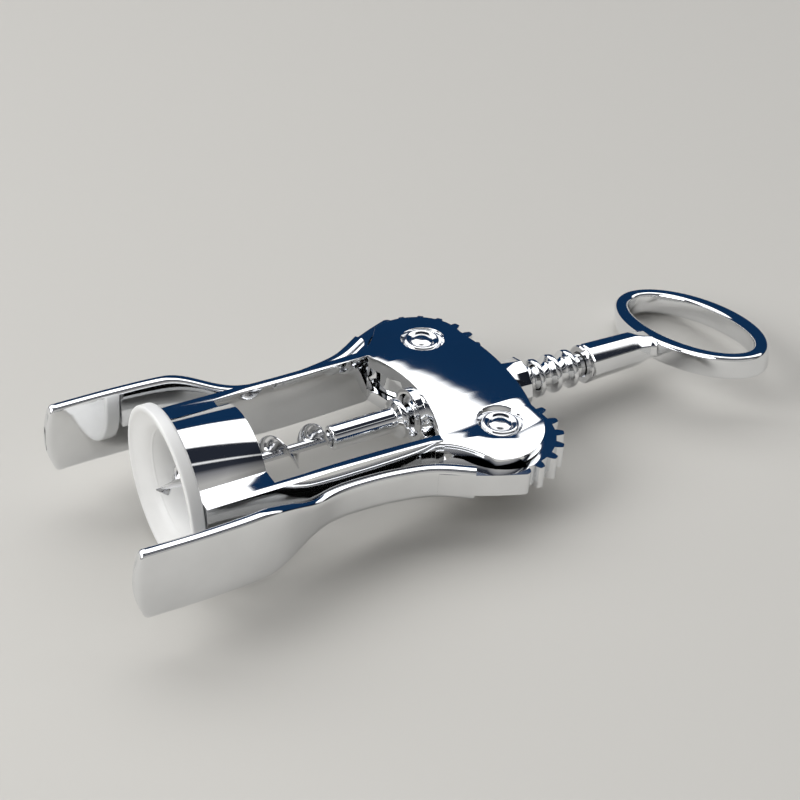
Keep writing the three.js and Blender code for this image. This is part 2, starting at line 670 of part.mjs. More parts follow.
function ringHandle() {
  const ring = ovalSlab(0, RING_THICKNESS).subtract(ovalSlab(RING_WALL, RING_THICKNESS + CUT_PAST));
  const socketEnd = NECK_START + STUD_LENGTH + FIT_GAP;
  const socket = rod(STUD_RADIUS + FIT_GAP, NECK_START - CUT_PAST, socketEnd);
  const mouth = rod(RACK_ROOT + FIT_GAP, NECK_START - CUT_PAST, NECK_START + 2 * STUD_COLLAR);
  return union([ring, ringNeck(), ringRoot()]).subtract(socket).subtract(mouth);
}

function build() {
  const tool = new THREE.Group();
  tool.name = 'tool';
  tool.position.set(0, -TOOL_MIDDLE, FLANGE_RADIUS);
  const nearLever = lever();
  const turnedHandle = (solid) => solid.rotate([0, HANDLE_TURN, 0]);
  const pieces = [
    ['frame_casting', frameCasting(), CHROME],
    ['cup_insert', cupInsert(), PLASTIC],
    ['rivet_near', rivet(PIVOT_X), STEEL],
    ['rivet_far', rivet(-PIVOT_X), STEEL],
    ['lever_near', nearLever, CHROME],
    ['lever_far', mirrored(nearLever), CHROME],
    ['rack_shaft', turnedHandle(rackShaft()), CHROME],
    ['neck_washer', neckWasher(), STEEL],
    ['ring_handle', turnedHandle(ringHandle()), CHROME],
    ['cross_pin', turnedHandle(crossPin()), STEEL],
    ['worm', turnedHandle(worm()), STEEL],
  ];
  pieces.forEach(([name, solid, look]) => tool.add(toMesh(name, solid, look)));
  const part = new THREE.Group();
  part.name = 'lever_corkscrew';
  part.add(tool);
  return part;
}

export default build();
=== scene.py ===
import math

import bmesh
import bpy
from mathutils import Matrix, Vector


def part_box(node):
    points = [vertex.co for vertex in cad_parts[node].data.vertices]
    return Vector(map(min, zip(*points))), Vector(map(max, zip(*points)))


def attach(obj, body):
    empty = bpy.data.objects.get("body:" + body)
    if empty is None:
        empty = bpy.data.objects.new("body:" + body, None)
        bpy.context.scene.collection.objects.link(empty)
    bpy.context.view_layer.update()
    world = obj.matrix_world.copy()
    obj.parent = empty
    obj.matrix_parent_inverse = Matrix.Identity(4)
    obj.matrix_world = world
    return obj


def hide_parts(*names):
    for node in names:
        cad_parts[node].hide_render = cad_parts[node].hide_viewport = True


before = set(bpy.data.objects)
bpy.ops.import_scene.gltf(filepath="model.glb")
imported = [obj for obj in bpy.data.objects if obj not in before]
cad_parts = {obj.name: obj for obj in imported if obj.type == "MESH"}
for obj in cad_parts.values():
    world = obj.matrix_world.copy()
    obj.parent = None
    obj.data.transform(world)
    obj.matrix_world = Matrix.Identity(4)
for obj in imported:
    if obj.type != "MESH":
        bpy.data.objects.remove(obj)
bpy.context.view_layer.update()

MM = 0.001
CUP_LOW, CUP_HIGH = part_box("cup_insert")
MOUTH_Y = CUP_LOW.y
AXIS_Z = (CUP_LOW.z + CUP_HIGH.z) / 2

# sizes in millimetres, in the tool's own frame: y from the bell's mouth, z from the tool's axis
FLANGE_RADIUS = 18.0
FLANGE_THICKNESS = 3.0
CUP_MOUTH_RADIUS = FLANGE_RADIUS - 1.2
CUP_THROAT_RADIUS = 10.8
CUP_THROAT_DEPTH = 8.0
CUP_LENGTH = 14.0
CUP_WALL = 1.1
CUP_ROUNDING = 0.7
TOOTH_PITCH = 4.5
GEAR_TEETH = 19
FIRST_TOOTH = -1
LAST_TOOTH = 9
TOOTH_ADDENDUM = 0.75
TOOTH_DEDENDUM = 1.05
TOOTH_BACKLASH = 0.4
PRESSURE_ANGLE = math.radians(22)
TIP_ROUNDING_ANGLE = 0.012
RACK_PITCH_RADIUS = 3.9
RACK_CRESTS = 11
RACK_ROUNDING = 0.38
GEAR_RADIUS = GEAR_TEETH * TOOTH_PITCH / (2 * math.pi)
GEAR_TIP = GEAR_RADIUS + TOOTH_ADDENDUM
GEAR_ROOT = GEAR_RADIUS - TOOTH_DEDENDUM
RACK_CREST = RACK_PITCH_RADIUS + TOOTH_ADDENDUM
RACK_ROOT = RACK_PITCH_RADIUS - TOOTH_DEDENDUM
PIVOT_X = GEAR_RADIUS + RACK_PITCH_RADIUS
PIVOT_Y = 72.5
HEAD_HALF_HEIGHT = 6.9
HEAD_CAMBER_RADIUS = 210.0
RIVET_RADIUS = 2.6
RIVET_HEAD_RADIUS = 4.2
RIVET_HEAD_HEIGHT = 1.3
LOWEST_CREST = PIVOT_Y - 3.5 * TOOTH_PITCH
SHAFT_START = LOWEST_CREST - 17.0
SHAFT_CHAMFER = 0.4
SHAFT_SOCKET_RADIUS = 1.9
SHANK_RADIUS = 1.6
SHANK_LENGTH = 7.0
STUD_RADIUS = 2.1
STUD_LENGTH = 9.0
STUD_COLLAR = 0.5
WASHER_THICKNESS = 1.1
WASHER_BORE = 3.15
FIT_GAP = 0.3
WASHER_START = LOWEST_CREST + RACK_CRESTS * TOOTH_PITCH - TOOTH_ADDENDUM
WASHER_END = WASHER_START + WASHER_THICKNESS
PIN_RADIUS = 0.7
PIN_DEPTH = 1.7
PIN_CHAMFER = 0.25
NECK_START = WASHER_END + FIT_GAP
NECK_END = NECK_START + 19.15
NECK_END_RADIUS = 4.1
NECK_SLOPE_LENGTH = 6.0
NECK_SPREAD = 2.8
NECK_SPREAD_LENGTH = 3.2
NECK_EDGE = 0.35
RING_HALF_WIDTH = 25.0
RING_HALF_LENGTH = 13.1
RING_WALL = 3.7
RING_THICKNESS = 5.6
RING_CORNER = 0.9
RING_CENTRE = NECK_END + RING_HALF_LENGTH - RING_WALL / 2
HANDLE_TURN = math.radians(-12.5)
PADDLE_REACH = 87.0
PADDLE_TIP = PIVOT_Y - PADDLE_REACH
PADDLE_HEIGHT = 17.0
PADDLE_THICKNESS = 2.7
PADDLE_SPREAD = 25.7
PADDLE_BULGE = 1.45
BULGE_LENGTH = 8.0
TIP_ROUNDING = 1.1
TIP_CORNER = 1.3
TIP_THICKNESS_SHARE = 0.45
ARM_HEIGHT = 7.8
ARM_THICKNESS = 3.0
ARM_CORNER = 0.95
LEG_WAIST = 15.7
WINDOW_INSET = 1.2
ARM_WAIST = LEG_WAIST + 4.1
LEG_FLARE = PIVOT_X - WINDOW_INSET - LEG_WAIST
ARM_BEND = 0.2
ARM_END_STEP = 9.4
ARM_END_DROP = 11.5
HUB_HEIGHT = 5.5
HUB_ARM_LENGTH = GEAR_TIP + 4.65
HUB_ARM_STEP = 3.2
HUB_ARM_WIDTH = 3.4
HUB_BELLY = 11.0
HUB_ROUNDING = 0.22
TAB_RADIUS = 14.7
TAB_CORNER = 1.6
TAB_SETBACK = 0.4
WORM_LENGTH = 40.5
WORM_PITCH = 10.0
WORM_RADIUS = 4.4
WORM_CORE = 1.15
WORM_POINT = 0.14
WORM_TAPER = 6.5
WORM_RUN_OUT = 2.0
BLADE_HALF_ANGLE = math.radians(13)
FRAME_ROUNDING = 0.4


def at(x, y, z):
    """A point of the tool's frame, in millimetres, as a point of the row frame."""
    return Vector((x * MM, MOUTH_Y + y * MM, AXIS_Z + z * MM))


# ---- materials ----
def node_material(name, color, metallic, rough_low, rough_high, bump, **extra):
    mat = bpy.data.materials.new(name)
    mat.use_nodes = True
    nt = mat.node_tree
    bsdf = nt.nodes["Principled BSDF"]
    bsdf.inputs["Metallic"].default_value = metallic
    for key, value in extra.items():
        bsdf.inputs[key.replace("_", " ")].default_value = value
    coord = nt.nodes.new("ShaderNodeTexCoord")

    def noise(scale, detail, stretch=None):
        tex = nt.nodes.new("ShaderNodeTexNoise")
        tex.inputs["Scale"].default_value = scale
        tex.inputs["Detail"].default_value = detail
        source = coord.outputs["Object"]
        if stretch:
            mapping = nt.nodes.new("ShaderNodeMapping")
            mapping.inputs["Scale"].default_value = stretch
            nt.links.new(source, mapping.inputs["Vector"])
            source = mapping.outputs["Vector"]
        nt.links.new(source, tex.inputs["Vector"])
        return tex.outputs["Fac"]

    def ramp(source, low, high, a, b):
        node = nt.nodes.new("ShaderNodeMapRange")
        node.inputs["From Min"].default_value = low
        node.inputs["From Max"].default_value = high
        node.inputs["To Min"].default_value = a
        node.inputs["To Max"].default_value = b
        nt.links.new(source, node.inputs["Value"])
        return node.outputs["Result"]

    smudge = noise(90, 3)
    scratch = noise(900, 2, (1.0, 0.04, 0.6))
    mix = nt.nodes.new("ShaderNodeMix")
    mix.data_type = "RGBA"
    mix.inputs["A"].default_value = (*color, 1)
    mix.inputs["B"].default_value = (*[c * 0.93 for c in color], 1)
    nt.links.new(ramp(smudge, 0.35, 0.7, 0.0, 1.0), mix.inputs["Factor"])
    nt.links.new(mix.outputs["Result"], bsdf.inputs["Base Color"])
    total = nt.nodes.new("ShaderNodeMath")
    total.operation = "ADD"
    nt.links.new(ramp(smudge, 0.3, 0.75, rough_low, rough_high), total.inputs[0])
    nt.links.new(ramp(scratch, 0.62, 0.75, 0.0, 0.05), total.inputs[1])
    nt.links.new(total.outputs["Value"], bsdf.inputs["Roughness"])
    bump_node = nt.nodes.new("ShaderNodeBump")
    bump_node.inputs["Strength"].default_value = bump
    bump_node.inputs["Distance"].default_value = 0.00002
    nt.links.new(noise(2500, 4), bump_node.inputs["Height"])
    nt.links.new(bump_node.outputs["Normal"], bsdf.inputs["Normal"])
    return mat


CHROME = node_material("chrome_plate", (0.86, 0.87, 0.885), 1.0, 0.03, 0.07, 0.05)
STEEL = node_material("bright_steel", (0.74, 0.745, 0.76), 1.0, 0.08, 0.16, 0.1)
PLASTIC = node_material("white_plastic", (0.86, 0.86, 0.85), 0.0, 0.33, 0.45, 0.15)
SLOTS = {"chrome_plate": CHROME, "bright_steel": STEEL, "white_plastic": PLASTIC}


# ---- mesh helpers ----
def add_piece(name, bm, body, node, slot, sharp=32.0):
    bmesh.ops.recalc_face_normals(bm, faces=bm.faces)
    mesh = bpy.data.meshes.new(name)
    bm.to_mesh(mesh)
    bm.free()
    for polygon in mesh.polygons:
        polygon.use_smooth = True
    mesh.set_sharp_from_angle(angle=math.radians(sharp))
    piece = bpy.data.objects.new(name, mesh)
    bpy.context.scene.collection.objects.link(piece)
    mesh.materials.append(SLOTS[slot])
    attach(piece, body)
    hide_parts(node)
    return piece


def rounded(profile, radius, steps=4):
    """The profile with each inner corner turned into a short curve."""
    out = [profile[0]]
    for before, corner, after in zip(profile, profile[1:], profile[2:]):
        p, c, n = Vector(before), Vector(corner), Vector(after)
        reach = min(radius, (p - c).length * 0.45, (n - c).length * 0.45)
        if reach < 1e-4 or (c - p).angle(n - c, 0.0) < math.radians(12):
            out.append(tuple(c))
            continue
        a = c + (p - c).normalized() * reach
        b = c + (n - c).normalized() * reach
        for step in range(steps + 1):
            t = step / steps
            out.append(tuple(a * (1 - t) ** 2 + c * 2 * t * (1 - t) + b * t * t))
    out.append(profile[-1])
    return out


def lathe(bm, profile, place, segments=160, closed=False):
    """Turns [radius, along] pairs; place(radius, along, angle) gives each point."""
    rings = []
    for radius, along in profile:
        if radius < 1e-6:
            rings.append([bm.verts.new(place(0.0, along, 0.0))])
        else:
            rings.append([
                bm.verts.new(place(radius, along, 2 * math.pi * k / segments))
                for k in range(segments)
            ])
    pairs = list(zip(rings, rings[1:]))
    if closed:
        pairs.append((rings[-1], rings[0]))
    for low, high in pairs:
        for k in range(segments):
            m = (k + 1) % segments
            corners = [low[k % len(low)], low[m % len(low)], high[m % len(high)], high[k % len(high)]]
            unique = list(dict.fromkeys(corners))
            if len(unique) > 2:
                bm.faces.new(unique)


def along_axis(radius, along, angle):
    return at(radius * math.cos(angle), along, radius * math.sin(angle))


def in_handle(point):
    """A tool-frame point in millimetres, turned with the handle about the tool's axis."""
    x, y, z = point
    c, s = math.cos(HANDLE_TURN), math.sin(HANDLE_TURN)
    return at(x * c + z * s, y, -x * s + z * c)


def loft(bm, sections):
    """A closed solid through the sections, each a ring of points."""
    rings = [[bm.verts.new(point) for point in section] for section in sections]
    for low, high in zip(rings, rings[1:]):
        count = len(low)
        for k in range(count):
            m = (k + 1) % count
            bm.faces.new((low[k], low[m], high[m], high[k]))
    bm.faces.new(list(reversed(rings[0])))
    bm.faces.new(rings[-1])


def extruded(bm, outline, half, place):
    """A flat plate with the outline, from z = -half to z = half."""
    low = [bm.verts.new(place(x, y, -half)) for x, y in outline]
    high = [bm.verts.new(place(x, y, half)) for x, y in outline]
    count = len(outline)
    for k in range(count):
        m = (k + 1) % count
        bm.faces.new((low[k], low[m], high[m], high[k]))
    bm.faces.new(list(reversed(low)))
    bm.faces.new(high)


def lerp(a, b, t):
    return a + (b - a) * t


def bezier2(a, b, c, t):
    return tuple(p * (1 - t) ** 2 + q * 2 * t * (1 - t) + r * t * t for p, q, r in zip(a, b, c))


def quarter_turns(half_wide, half_tall, corner, steps):
    """A rounded rectangle as four quarter circles, counter-clockwise from the first corner."""
    points = []
    for sx, sz, start in ((1, 1, 0), (-1, 1, 90), (-1, -1, 180), (1, -1, 270)):
        for k in range(steps + 1):
            angle = math.radians(start + 90 * k / steps)
            points.append((
                sx * (half_wide - corner) + corner * math.cos(angle),
                sz * (half_tall - corner) + corner * math.sin(angle),
            ))
    return points


def catmull(points, t):
    """A smooth curve through the points, t from 0 to 1 over all of them."""
    place = t * (len(points) - 1)
    index = min(int(place), len(points) - 2)
    w = place - index
    p1, p2 = points[index], points[index + 1]
    p0 = points[max(index - 1, 0)]
    p3 = points[min(index + 2, len(points) - 1)]

    def one(a, b, c, d):
        v0, v1 = (c - a) / 2, (d - b) / 2
        return ((2 * b - 2 * c + v0 + v1) * w ** 3
                + (-3 * b + 3 * c - 2 * v0 - v1) * w ** 2 + v0 * w + b)

    return one(p0[0], p1[0], p2[0], p3[0]), one(p0[1], p1[1], p2[1], p3[1])


# ---- cup insert ----
def make_cup():
    funnel = []
    mid = (3 * CUP_MOUTH_RADIUS + CUP_THROAT_RADIUS) / 4
    for step in range(25):
        t = step / 24
        a, b, c, d = (1 - t) ** 3, 3 * t * (1 - t) ** 2, 3 * t * t * (1 - t), t ** 3
        funnel.append((
            a * CUP_MOUTH_RADIUS + b * mid + (c + d) * CUP_THROAT_RADIUS,
            (b + c) * FLANGE_THICKNESS / 2 + d * CUP_THROAT_DEPTH,
        ))
    spigot = CUP_THROAT_RADIUS + CUP_WALL
    outside = rounded([
        funnel[0], (FLANGE_RADIUS, 0.0), (FLANGE_RADIUS, FLANGE_THICKNESS),
        (spigot, FLANGE_THICKNESS), (spigot, CUP_LENGTH), (CUP_THROAT_RADIUS, CUP_LENGTH), funnel[-1],
    ], CUP_ROUNDING)
    bm = bmesh.new()
    lathe(bm, outside + funnel[1:-1][::-1], along_axis, 192, closed=True)
    add_piece("cup_funnel", bm, "frame", "cup_insert", "white_plastic", sharp=50)


# ---- rivets ----
def make_rivet(name, node, x):
    """Alike at both ends: a rolled rim, a groove and a domed middle."""
    surface = HEAD_HALF_HEIGHT - x * x / (2 * HEAD_CAMBER_RADIUS)
    under = surface - RIVET_HEAD_HEIGHT
    rim = [(4.2, 0.5), (3.95, 0.22), (3.6, 0.12), (3.2, 0.2)]
    groove = [(2.75, 0.45), (2.5, 0.6), (2.2, 0.5)]
    dome = [(1.6, 0.25), (0.9, 0.13), (0.0, 0.1)]
    face = [(radius, surface - drop) for radius, drop in rim + groove + dome]
    smooth = [catmull(face, step / 60) for step in range(61)]
    upper = [(RIVET_RADIUS, under), (RIVET_HEAD_RADIUS, under)] + smooth
    lower = [(r, -z) for r, z in reversed(upper)]

    def place(radius, along, angle):
        return at(x + radius * math.cos(angle), PIVOT_Y + radius * math.sin(angle), along)

    bm = bmesh.new()
    lathe(bm, lower + upper, place, 96)
    add_piece(name, bm, "frame", node, "bright_steel", sharp=50)


# ---- levers ----
def arm_line():
    def along(share):
        return PIVOT_Y - share * PADDLE_REACH
    return [
        (PADDLE_SPREAD + 0.05, PADDLE_TIP),
        (PADDLE_SPREAD + 0.2, along(0.83)),
        (PADDLE_SPREAD - 0.6, along(0.68)),
        ((PADDLE_SPREAD + ARM_WAIST) / 2 - 0.6, along(0.565)),
        (ARM_WAIST + 0.3, along(0.48)),
        (ARM_WAIST - ARM_BEND + LEG_FLARE / 3, along(0.4)),
        (ARM_WAIST + ARM_BEND / 2 + LEG_FLARE, along(0.31)),
        (PIVOT_X + HUB_ARM_STEP + HUB_ARM_WIDTH / 2, PIVOT_Y - HUB_ARM_LENGTH),
        (PIVOT_X + ARM_END_STEP, PIVOT_Y - ARM_END_DROP),
    ]


def arm_half_height(y):
    tall, low = PADDLE_HEIGHT / 2, ARM_HEIGHT / 2
    start = PIVOT_Y - 0.70 * PADDLE_REACH
    end = PIVOT_Y - 0.51 * PADDLE_REACH
    t = min(1.0, max(0.0, (y - start) / (end - start)))
    return lerp(tall, low, t * t * (3 - 2 * t))


def arm_section(middle, across, half_wide, half_tall, bulge, side):
    """A rounded bar section across the arm's line; the tip's rim is moved out by the bulge."""
    points = quarter_turns(half_wide, half_tall, min(ARM_CORNER, half_wide * 0.8), 5)
    levels = []
    for index, (w, h) in enumerate(points):
        levels.append((w, h))
        next_w, next_h = points[(index + 1) % len(points)]
        if abs(next_h - h) > 1.5:
            for k in range(1, 8):
                levels.append((lerp(w, next_w, k / 8), lerp(h, next_h, k / 8)))
    out = []
    for w, h in levels:
        push = bulge * (1 - (h / half_tall) ** 2)
        x = middle[0] + across[0] * w
        y = middle[1] + across[1] * w - push
        out.append(at(side * x, y, h))
    return out


def arm_sections(side):
    line = arm_line()
    sections = []
    stations = [0.0, 0.0015, 0.004, 0.008, 0.014] + [0.02 + 0.98 * k / 90 for k in range(91)]
    for t in stations:
        middle = catmull(line, t)
        before = catmull(line, max(0.0, t - 0.004))
        after = catmull(line, min(1.0, t + 0.004))
        size = math.hypot(after[0] - before[0], after[1] - before[1])
        across = ((after[1] - before[1]) / size, -(after[0] - before[0]) / size)
        past_tip = middle[1] - PADDLE_TIP
        tip = min(1.0, past_tip / TIP_ROUNDING)
        curve = math.sqrt(max(0.0, 1 - (1 - tip) ** 2))
        thick = lerp(PADDLE_THICKNESS, ARM_THICKNESS, t) / 2 * lerp(TIP_THICKNESS_SHARE, 1.0, curve)
        tall = arm_half_height(middle[1]) - TIP_CORNER * (1 - curve)
        bulge = PADDLE_BULGE * max(0.0, 1 - past_tip / BULGE_LENGTH)
        sections.append(arm_section(middle, across, thick, tall, bulge, side))
    return sections


def hub_outline():
    """The thinner end of the arm, which turns between the head's plates."""
    tab = PIVOT_X + TAB_RADIUS
    inner = PIVOT_X + HUB_ARM_STEP
    outer = inner + HUB_ARM_WIDTH
    arm_y = PIVOT_Y - HUB_ARM_LENGTH
    tab_y = PIVOT_Y - TAB_SETBACK
    corner_y = tab_y - TAB_CORNER
    outline = [(inner, arm_y), (outer, arm_y)]
    for k in range(1, 13):
        belly = (tab - 2 * TAB_CORNER, PIVOT_Y - HUB_BELLY)
        outline.append(bezier2((outer, arm_y), belly, (tab, corner_y), k / 12))
    for k in range(1, 6):
        outline.append(bezier2((tab, corner_y), (tab, tab_y), (tab - TAB_CORNER, tab_y), k / 5))
    under = (PIVOT_X + 1, PIVOT_Y - GEAR_ROOT / 2)
    outline += [(PIVOT_X + 3, PIVOT_Y - 0.2), under]
    for k in range(1, 8):
        bend = (inner - TAB_SETBACK, PIVOT_Y - GEAR_ROOT)
        outline.append(bezier2(under, bend, (inner, arm_y), k / 8))
    return outline


def tooth_flank(radius):
    """Half of a tooth's angle at the radius, on an involute."""
    base = GEAR_RADIUS * math.cos(PRESSURE_ANGLE)

    def involute(r):
        angle = math.acos(min(1.0, base / r))
        return math.tan(angle) - angle

    wide = (TOOTH_PITCH / 2 - TOOTH_BACKLASH) / (2 * GEAR_RADIUS)
    return wide + involute(GEAR_RADIUS) - involute(max(radius, base))


def gear_outline():
    """The toothed part of the hub, closed by the root circle."""
    radii = [GEAR_ROOT, GEAR_RADIUS - 0.5, GEAR_RADIUS, GEAR_RADIUS + 0.4, GEAR_TIP - 0.15, GEAR_TIP]
    half_angles = [tooth_flank(radius) for radius in radii]
    half_angles[-1] -= TIP_ROUNDING_ANGLE
    gear = []
    for index in range(FIRST_TOOTH, LAST_TOOTH + 1):
        centre = math.pi - index * 2 * math.pi / GEAR_TEETH
        flank = list(zip(radii, half_angles))
        gear += [(radius, centre + half) for radius, half in flank]
        gear += [(radius, centre - half) for radius, half in reversed(flank)]
    end = gear[-1][1]
    start = gear[0][1]
    for k in range(1, 60):
        gear.append((GEAR_ROOT, lerp(end, start - 2 * math.pi, k / 60)))
    return [(PIVOT_X + r * math.cos(a), PIVOT_Y + r * math.sin(a)) for r, a in gear]


def make_lever(name, node, body, side):
    bm = bmesh.new()
    loft(bm, arm_sections(side))
    arm_edges = set(bm.edges)
    for outline in (hub_outline(), gear_outline()):
        extruded(bm, outline, HUB_HEIGHT / 2, lambda x, y, z: at(side * x, y, z))
    rims = [
        e for e in bm.edges
        if e not in arm_edges and len(e.link_faces) == 2 and e.calc_face_angle(0) > math.radians(60)
        and abs(e.verts[0].co.z - e.verts[1].co.z) < 1e-6
    ]
    bmesh.ops.bevel(bm, geom=rims, offset=HUB_ROUNDING * MM, segments=2, profile=0.5, affect="EDGES",
                    clamp_overlap=True)
    add_piece(name, bm, body, node, "chrome_plate", sharp=40)


# ---- rack shaft, washer, pin ----
def make_shaft():
    flank = math.tan(PRESSURE_ANGLE)
    half = (TOOTH_PITCH / 2 - TOOTH_BACKLASH) / 2
    crest = half - TOOTH_ADDENDUM * flank
    root = half + TOOTH_DEDENDUM * flank
    socket_end = SHAFT_START + SHANK_LENGTH
    profile = [
        (0.0, socket_end), (SHAFT_SOCKET_RADIUS, socket_end), (SHAFT_SOCKET_RADIUS, SHAFT_START),
        (RACK_ROOT - SHAFT_CHAMFER, SHAFT_START), (RACK_ROOT, SHAFT_START + SHAFT_CHAMFER),
    ]
    for index in range(RACK_CRESTS):
        y = LOWEST_CREST + index * TOOTH_PITCH
        profile += [
            (RACK_ROOT, y - root), (RACK_CREST, y - crest), (RACK_CREST, y + crest), (RACK_ROOT, y + root),
        ]
    collar_end, stud_end = NECK_START + STUD_COLLAR, NECK_START + STUD_LENGTH
    profile += [(RACK_ROOT, collar_end), (STUD_RADIUS, collar_end), (STUD_RADIUS, stud_end), (0.0, stud_end)]
    bm = bmesh.new()
    lathe(bm, rounded(profile, RACK_ROUNDING, 3), along_axis, 128)
    add_piece("rack_rings", bm, "handle", "rack_shaft", "chrome_plate", sharp=50)


def make_washer():
    edge = 0.3
    profile = [
        (WASHER_BORE, WASHER_START), (RACK_CREST - edge, WASHER_START),
        (RACK_CREST, WASHER_START + edge), (RACK_CREST, WASHER_END - edge),
        (RACK_CREST - edge, WASHER_END), (WASHER_BORE, WASHER_END),
    ]
    bm = bmesh.new()
    lathe(bm, profile, along_axis, 96, closed=True)
    add_piece("washer_ring", bm, "carrier", "neck_washer", "bright_steel", sharp=30)


def make_pin():
    half = RACK_ROOT
    narrow = PIN_RADIUS - PIN_CHAMFER
    profile = [
        (0.0, -half), (narrow, -half), (PIN_RADIUS, -half + PIN_CHAMFER),
        (PIN_RADIUS, half - PIN_CHAMFER), (narrow, half), (0.0, half),
    ]

    def place(radius, along, angle):
        y = SHAFT_START + PIN_DEPTH + radius * math.cos(angle)
        return in_handle((along, y, radius * math.sin(angle)))

    bm = bmesh.new()
    lathe(bm, profile, place, 32)
    add_piece("pin_ends", bm, "handle", "cross_pin", "bright_steel", sharp=50)


# ---- worm ----
def worm_section(along, length, around=56):
    """Half of the points go to the blade, which is narrow, and half to the core."""
    taper = WORM_POINT + (1 - WORM_POINT) * min(1.0, along / WORM_TAPER)
    blade = (WORM_RADIUS - WORM_CORE) * min(1.0, (length - along) / WORM_RUN_OUT)
    turned = along / WORM_PITCH * 2 * math.pi
    edge = BLADE_HALF_ANGLE * 1.25
    section = []
    for k in range(around):
        share = k / around
        if share < 0.5:
            angle = (share / 0.25 - 1) * edge
        else:
            angle = lerp(edge, 2 * math.pi - edge, (share - 0.5) / 0.5)
        off = abs(angle if angle < math.pi else angle - 2 * math.pi) / BLADE_HALF_ANGLE
        rise = 1.0 if off < 0.35 else max(0.0, 1 - ((off - 0.35) / 0.75) ** 2)
        radius = (WORM_CORE + blade * rise) * taper
        x, z = radius * math.cos(angle + turned), -radius * math.sin(angle + turned)
        section.append(in_handle((x, SHAFT_START - WORM_LENGTH + along, z)))
    return section


def make_worm():
    length = WORM_LENGTH - FIT_GAP
    steps = int(length / WORM_PITCH * 40)
    bm = bmesh.new()
    loft(bm, [worm_section(length * step / steps, length) for step in range(steps + 1)])
    low, high = SHAFT_START - 2 * FIT_GAP, SHAFT_START + SHANK_LENGTH
    lathe(bm, [(0.0, low), (SHANK_RADIUS, low), (SHANK_RADIUS, high), (0.0, high)], along_axis, 48)
    add_piece("worm_blade", bm, "handle", "worm", "bright_steel", sharp=60)


# ---- ring handle ----
def ring_loop(bm):
    """A rounded bar bent into an oval; every line of it is an ellipse of its own."""
    segments = 220
    half_wall, half_tall = RING_WALL / 2, RING_THICKNESS / 2
    profile = quarter_turns(half_wall, half_tall, RING_CORNER, 5)
    a, b = RING_HALF_WIDTH - half_wall, RING_HALF_LENGTH - half_wall
    rings = []
    for k in range(segments):
        t = 2 * math.pi * k / segments
        rings.append([
            bm.verts.new(in_handle(((a + w) * math.cos(t), RING_CENTRE + (b + w) * math.sin(t), h)))
            for w, h in profile
        ])
    for k in range(segments):
        low, high = rings[k], rings[(k + 1) % segments]
        for j in range(len(profile)):
            m = (j + 1) % len(profile)
            bm.faces.new((low[j], low[m], high[m], high[j]))


def neck_section(y, wide, tall, corner=0.28):
    """The eight-sided section of the neck, with its corners rounded."""
    t = math.tan(math.pi / 8)
    points = []
    for sx, sz in ((1, 1), (-1, 1), (-1, -1), (1, -1)):
        pair = [(sx * wide, sz * tall * t), (sx * wide * t, sz * tall)]
        points += pair if sx * sz > 0 else pair[::-1]
    out = []
    count = len(points)
    for index, (x, z) in enumerate(points):
        p = Vector((x, z))
        before = Vector(points[index - 1]) - p
        after = Vector(points[(index + 1) % count]) - p
        a = p + before.normalized() * corner
        b = p + after.normalized() * corner
        for k in range(4):
            u = k / 3
            q = a * (1 - u) ** 2 + p * 2 * u * (1 - u) + b * u * u
            out.append(in_handle((q.x, y, q.y)))
    return out


def make_handle():
    bm = bmesh.new()
    ring_loop(bm)
    flat = math.cos(math.pi / 8)
    slope_start = NECK_END - NECK_SLOPE_LENGTH
    stations = [NECK_START, NECK_START + 0.12, NECK_START + NECK_EDGE]
    stations += [lerp(NECK_START + 0.5, slope_start, k / 10) for k in range(11)]
    stations += [lerp(slope_start, NECK_END + 0.4, k / 14) for k in range(1, 15)]
    sections = []
    for y in stations:
        share = (y - NECK_START) / (NECK_END - NECK_START)
        wide = lerp(RACK_CREST * flat, NECK_END_RADIUS * flat, share)
        wide -= max(0.0, NECK_EDGE - (y - NECK_START))
        tall = wide
        if y > slope_start:
            t = min(1.0, (y - slope_start) / NECK_SLOPE_LENGTH)
            tall = lerp(tall, RING_THICKNESS / 2 - 0.1, t * t * (3 - 2 * t))
            spread = max(0.0, (y - (NECK_END - NECK_SPREAD_LENGTH)) / NECK_SPREAD_LENGTH)
            wide += NECK_SPREAD * spread ** 2
        sections.append(neck_section(y, wide, tall))
    loft(bm, sections)
    add_piece("ring_and_neck", bm, "handle", "ring_handle", "chrome_plate", sharp=38)


# ---- frame casting: the CAD solid with its edges rounded ----
def make_frame():
    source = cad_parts["frame_casting"].data
    bm = bmesh.new()
    bm.from_mesh(source)
    bmesh.ops.remove_doubles(bm, verts=bm.verts, dist=2e-6)
    bmesh.ops.dissolve_limit(bm, angle_limit=math.radians(1.0), verts=bm.verts, edges=bm.edges)
    edges = [e for e in bm.edges if len(e.link_faces) == 2 and e.calc_face_angle(0) > math.radians(38)]
    bmesh.ops.bevel(bm, geom=edges, offset=FRAME_ROUNDING * MM, segments=3, profile=0.5, affect="EDGES",
                    clamp_overlap=True)
    add_piece("frame_body", bm, "frame", "frame_casting", "chrome_plate", sharp=24)


make_cup()
make_rivet("rivet_head_near", "rivet_near", PIVOT_X)
make_rivet("rivet_head_far", "rivet_far", -PIVOT_X)
make_lever("wing_near", "lever_near", "lever_near_body", 1)
make_lever("wing_far", "lever_far", "lever_far_body", -1)
make_shaft()
make_washer()
make_pin()
make_worm()
make_handle()
make_frame()


# ---- camera ----
def camera_axes(azimuth, elevation, roll):
    a, e, r = (math.radians(v) for v in (azimuth, elevation, roll))
    back = Vector((math.sin(a) * math.cos(e), -math.cos(a) * math.cos(e), math.sin(e)))
    right = Vector((math.cos(a), math.sin(a), 0.0))
    up = back.cross(right)
    return (math.cos(r) * right + math.sin(r) * up, -math.sin(r) * right + math.cos(r) * up, back)


